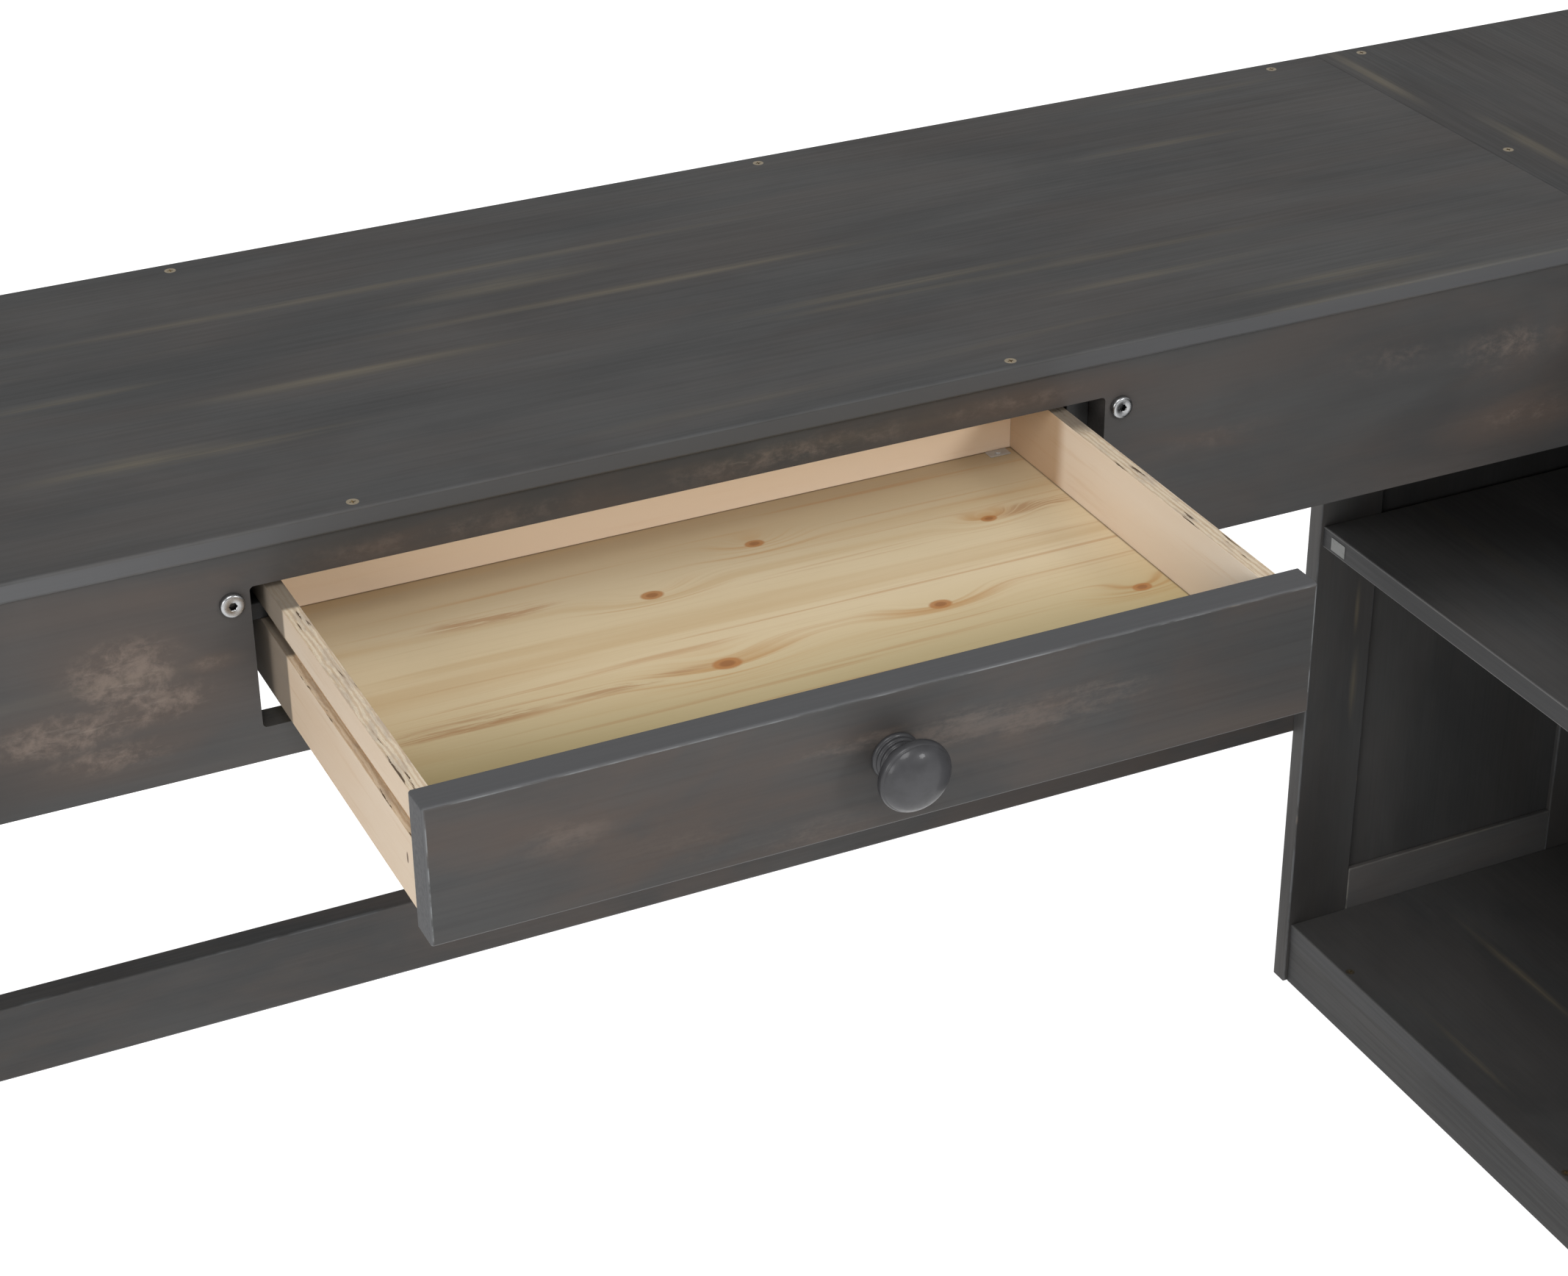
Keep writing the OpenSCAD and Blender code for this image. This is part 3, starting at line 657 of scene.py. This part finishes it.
def outer_rim(e):
    """Whether an edge runs round the drawer front's face."""
    xs, zs = [v.co.x for v in e.verts], [v.co.z for v in e.verts]
    edge_zone = 2 * MM
    return (all(abs(v.co.y - front_lo.y) < 1e-5 for v in e.verts) and
            (min(xs) < front_lo.x + edge_zone or max(xs) > front_hi.x - edge_zone or
             min(zs) < front_lo.z + edge_zone or max(zs) > front_hi.z - edge_zone))


bm = cad_bmesh("drawer_front")
arris = bm.faces.layers.float.new("arris")
rim_faces = rounded_off(bm, [e for e in bm.edges if sharp_edge(e, 60) and outer_rim(e)], 2.6 * MM, 7)
bm.normal_update()
for f in rim_faces:
    # only the last strip before the face is painted pale, partly wear and partly a painted highlight, and not along
    # the bottom
    f[arris] = 1.0 if -0.995 < f.normal.y < -0.93 and f.normal.z > -0.05 else 0.0
mark_band(bm, lambda f: abs(f.normal.y) < 0.93)
show("look_drawer_front", bm, front_mat, "drawer", ["drawer_front"])


def ply_board(node, mat, across_axis):
    """A plywood board of the drawer, its edges, groove and outside marked for the material."""
    lo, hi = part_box(node)
    i = "xyz".index(across_axis)
    bm = eased(node, 0.35 * MM, 2, wear_and_highlight=0.0)
    edge, groove, outside = (bm.faces.layers.float.new(name) for name in ("ply_edge", "groove", "outside"))
    out_sign = 1 if lo.x > knob_lo.x else -1
    bm.normal_update()
    for f in bm.faces:
        c = f.calc_center_median()
        across = abs(f.normal[i])
        sunk = min(c[i] - lo[i], hi[i] - c[i]) > 0.6 * MM
        f[edge] = float(across < 0.6)
        f[groove] = float(sunk and across > 0.6)
        f[outside] = float(f.normal.x * out_sign >= -0.6)
    show("look_" + node, bm, mat, "drawer", [node])


# the drawer sides' outsides are darker behind this line
rear_dark_line = at(0, -372, 0).y
nail_hole = ((-860.5, -551, 682), (3, 2.6, 6), (0.12, 0.07, 0.045))
# painted light: painted_light_gain darkens the left side's veneer and lightens the right side's and the back's
ply_board("drawer_side_left", plywood("ply_side_left", "x", side_l_lo.x, side_l_hi.x, "y", 1,
                                      painted_light_gain=(0.93, 0.93, 0.93), stain=(rear_dark_line, 0.002), holes=[nail_hole]), "x")
# painted shadow: the right side's veneer darkens behind painted_shadow_y, standing in for the main top's shadow
ply_board("drawer_side_right", plywood("ply_side_right", "x", side_r_lo.x, side_r_hi.x, "y", 2,
                                       painted_light_gain=(1.34, 1.42, 1.54), stain=(rear_dark_line, 0.010),
                                       painted_shadow_y=at(0, -361, 0).y), "x")
ply_board("drawer_back", plywood("ply_back", "y", back_lo.y, back_hi.y, "x", 3, warm=0.55,
                                 painted_light_gain=(1.13, 1.24, 1.32)), "y")
pine_mat = knotty_pine(
    "knotty_pine",
    knots=[(-583, -341, 7), (-657, -370, 8), (-651, -454, 10), (-523, -447, 8), (-453, -372, 6), (-417, -478, 7),
           (-760, -505, 6)],
    wisps=[(-795, -453, 60, 9), (-744, -355, 50, 8), (-426, -369, 46, 8), (-700, -452, 60, 5)])
show("look_drawer_bottom", eased("drawer_bottom", 0.3 * MM, 2), pine_mat, "drawer", ["drawer_bottom"])

# runners, packing and stops: stained like the inside
for node in ("runner_left", "runner_right", "runner_packing", "drawer_stops"):
    show("look_" + node, eased(node, 0.8 * MM, longest=0.009, wear_and_highlight=0.3), inside_mat, "desk", [node])

# ---------------------------------------------------------------- knob: narrowing rings, a neck and a domed cap
knob_c = (knob_lo + knob_hi) / 2
KNOB_DRAWN = 31.0
knob_depth = (knob_hi.y - knob_lo.y) / MM
turned = [(0.0, 0.0), (12.6, 0.0), (13.0, 0.8), (12.9, 1.9), (11.7, 2.6), (11.5, 3.0), (12.2, 3.8), (12.1, 4.8),
          (11.0, 5.5), (10.8, 5.9), (11.5, 6.7), (11.4, 7.7), (10.4, 8.4), (10.2, 8.8), (10.9, 9.6), (10.8, 10.6),
          (10.1, 11.4), (10.1, 12.6), (11.2, 14.6), (14.4, 16.6), (18.0, 18.2), (19.7, 19.8), (19.8, 21.4),
          (19.6, 22.8), (18.9, 23.8), (18.4, 24.1), (18.0, 24.9), (16.0, 26.9), (12.6, 28.8), (8.2, 30.3),
          (4.0, 30.9), (0.0, KNOB_DRAWN)]
turned = [(r * MM, h * MM * knob_depth / KNOB_DRAWN) for r, h in turned]
profile = [turned[0]] + corners_cut(turned[1:-1], 2) + [turned[-1]]
bm = lathe(profile, facing_out(knob_c.x, knob_hi.y, knob_c.z), 96)
show("look_knob", bm, lacquer("knob_lacquer"), "drawer", ["knob"], 60, False)

# ---------------------------------------------------------------- metal
zinc_bright = zinc("zinc_bright", (0.42, 0.42, 0.42), 0.27)
zinc_bolt = zinc("zinc_bolt", (0.34, 0.345, 0.35), 0.26, recess="socket")
zinc_dull = zinc("zinc_dull", (0.46, 0.39, 0.28), 0.38)
zinc_clip = zinc("zinc_clip", (0.50, 0.49, 0.47), 0.42, 0.35)
for mat, nodes in (
        (zinc_dull, ("main_top_screws", "return_top_screws", "kick_screws", "shelf_screws", "beam_screws")),
        (zinc_bright, ("barrel_nuts", "drawer_pins", "knob_screw"))):
    for node in nodes:
        NODES[node].data.materials.clear()
        NODES[node].data.materials.append(mat)
show("look_drawer_clip", eased("drawer_clip", 0.25 * MM, 2, longest=0.003), zinc_clip, "drawer",
     ["drawer_clip"])

SHANK_LENGTH, SHANK_R = 46.0, 3.0
HEAD_EASE = 1.5
SOCKET_R, SOCKET_MOUTH, SOCKET_FLOOR = 1.95, 0.35, 2.3


def bolt(x, z, head_r, head_h):
    """A bolt with a flat, eased head and a hexagonal socket; sizes in millimetres."""
    place = facing_out(x, apron_lo.y, z)
    outline = [(0.0, -SHANK_LENGTH), (SHANK_R, -SHANK_LENGTH), (SHANK_R, 0.0), (head_r, 0.0),
               (head_r, head_h - HEAD_EASE)]
    outline += [(head_r - HEAD_EASE * (1 - math.cos(a)), head_h - HEAD_EASE * (1 - math.sin(a)))
                for a in (math.radians(d) for d in range(15, 91, 15))]
    outline += [(2.5, head_h), (2.3, head_h - 0.1)]
    bm = lathe([(r * MM, h * MM) for r, h in outline], place, 48)
    back = place.inverted()
    rim = [v for v in bm.verts if abs((back @ v.co).z - (head_h - 0.1) * MM) < 1e-7]
    rim.sort(key=lambda v: math.atan2(*(back @ v.co).yx))

    def hexagon(height):
        """A ring with one point for each of the rim's, on a hexagon's sides."""
        ring = []
        for v in rim:
            c = back @ v.co
            a = math.atan2(c.y, c.x)
            r = SOCKET_R / math.cos((a % (math.pi / 3)) - math.pi / 6) * MM
            ring.append(bm.verts.new(place @ Vector((r * math.cos(a), r * math.sin(a), height * MM))))
        return ring

    mouth, floor = hexagon(head_h - SOCKET_MOUTH), hexagon(head_h - SOCKET_FLOOR)
    n = len(rim)
    socket = bm.faces.layers.float.new("socket")
    for low, high in ((rim, mouth), (mouth, floor)):
        for i in range(n):
            f = bm.faces.new((low[i], low[(i + 1) % n], high[(i + 1) % n], high[i]))
            f[socket] = float(low is mouth)
    bm.faces.new(floor)[socket] = 1.0
    bmesh.ops.recalc_face_normals(bm, faces=bm.faces)
    return bm


bolt_lo, bolt_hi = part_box("apron_bolts")
bolt_r = (bolt_hi.z - bolt_lo.z) / 2
bolt_z = (bolt_lo.z + bolt_hi.z) / 2
for side, x in (("left", bolt_lo.x + bolt_r), ("right", bolt_hi.x - bolt_r)):
    bm = bolt(x, bolt_z, bolt_r / MM, (apron_lo.y - bolt_lo.y) / MM)
    show("look_bolt_" + side, bm, zinc_bolt, "desk", ["apron_bolts"], 40, False)

# ---------------------------------------------------------------- floor, light and camera
FLOOR_HALF = 40
bm = bmesh.new()
bmesh.ops.create_grid(bm, x_segments=8, y_segments=8, size=FLOOR_HALF)
me = bpy.data.meshes.new("floor")
bm.to_mesh(me)
bm.free()
floor = bpy.data.objects.new("floor", me)
scene.collection.objects.link(floor)
t = Tree("pale_floor")
# a little light of its own keeps the floor white to its far edge
t.bsdf.inputs["Emission Color"].default_value = (1, 1, 1, 1)
t.bsdf.inputs["Emission Strength"].default_value = 0.78
pale = t.mix(t.ramp(t.even_noise(0.6, 2, 0.5), 0.3, 0.7), (0.80, 0.80, 0.80), (0.82, 0.82, 0.82))
me.materials.append(t.finish(pale, 0.9, Specular_IOR_Level=0.0))

world = bpy.data.worlds.new("studio")
scene.world = world
world.use_nodes = True
sky = world.node_tree.nodes["Background"]
sky.inputs["Color"].default_value = (1, 1, 1, 1)
sky.inputs["Strength"].default_value = 0.50


def softbox(name, place, look_at, size, watts):
    light = bpy.data.lights.new(name, "AREA")
    light.shape = "SQUARE"
    light.size = size
    light.energy = watts
    ob = bpy.data.objects.new(name, light)
    ob.location = place
    ob.rotation_euler = (Vector(look_at) - Vector(place)).to_track_quat("-Z", "Y").to_euler()
    scene.collection.objects.link(ob)


softbox("key", (-0.9, -1.9, 3.2), (0.0, -0.2, 0.6), 1.2, 46)
softbox("left", (-3.0, -1.8, 1.6), (0.2, -0.1, 0.5), 1.2, 34)
softbox("right", (1.5, -3.2, 2.2), (0.0, 0.0, 0.6), 0.7, 40)

scene.view_settings.view_transform = "Standard"
scene.view_settings.look = "None"

# the camera: its angles are the photograph's, in degrees; its place is in millimetres from the seam, wall and floor
AZIMUTH, ELEVATION, ROLL = -25.15, 29.73, -0.53
CAMERA_PLACE = (-1247.5, -1793.6, 1535.1)
az, el = math.radians(AZIMUTH), math.radians(ELEVATION)
back = Vector((math.sin(az) * math.cos(el), -math.cos(az) * math.cos(el), math.sin(el)))
right = Vector((0, 0, 1)).cross(back).normalized()
up = back.cross(right)
roll = Matrix.Rotation(math.radians(ROLL), 3, back)
right, up = roll @ right, roll @ up
cam = bpy.data.cameras.new("camera")
cam.lens = 75.38
cam.sensor_width = 36
cam.sensor_fit = "HORIZONTAL"
cam.clip_end = 100
camera = bpy.data.objects.new("camera", cam)
camera.matrix_world = Matrix.Translation(at(*CAMERA_PLACE)) @ Matrix((right, up, back)).transposed().to_4x4()
scene.collection.objects.link(camera)
scene.camera = camera
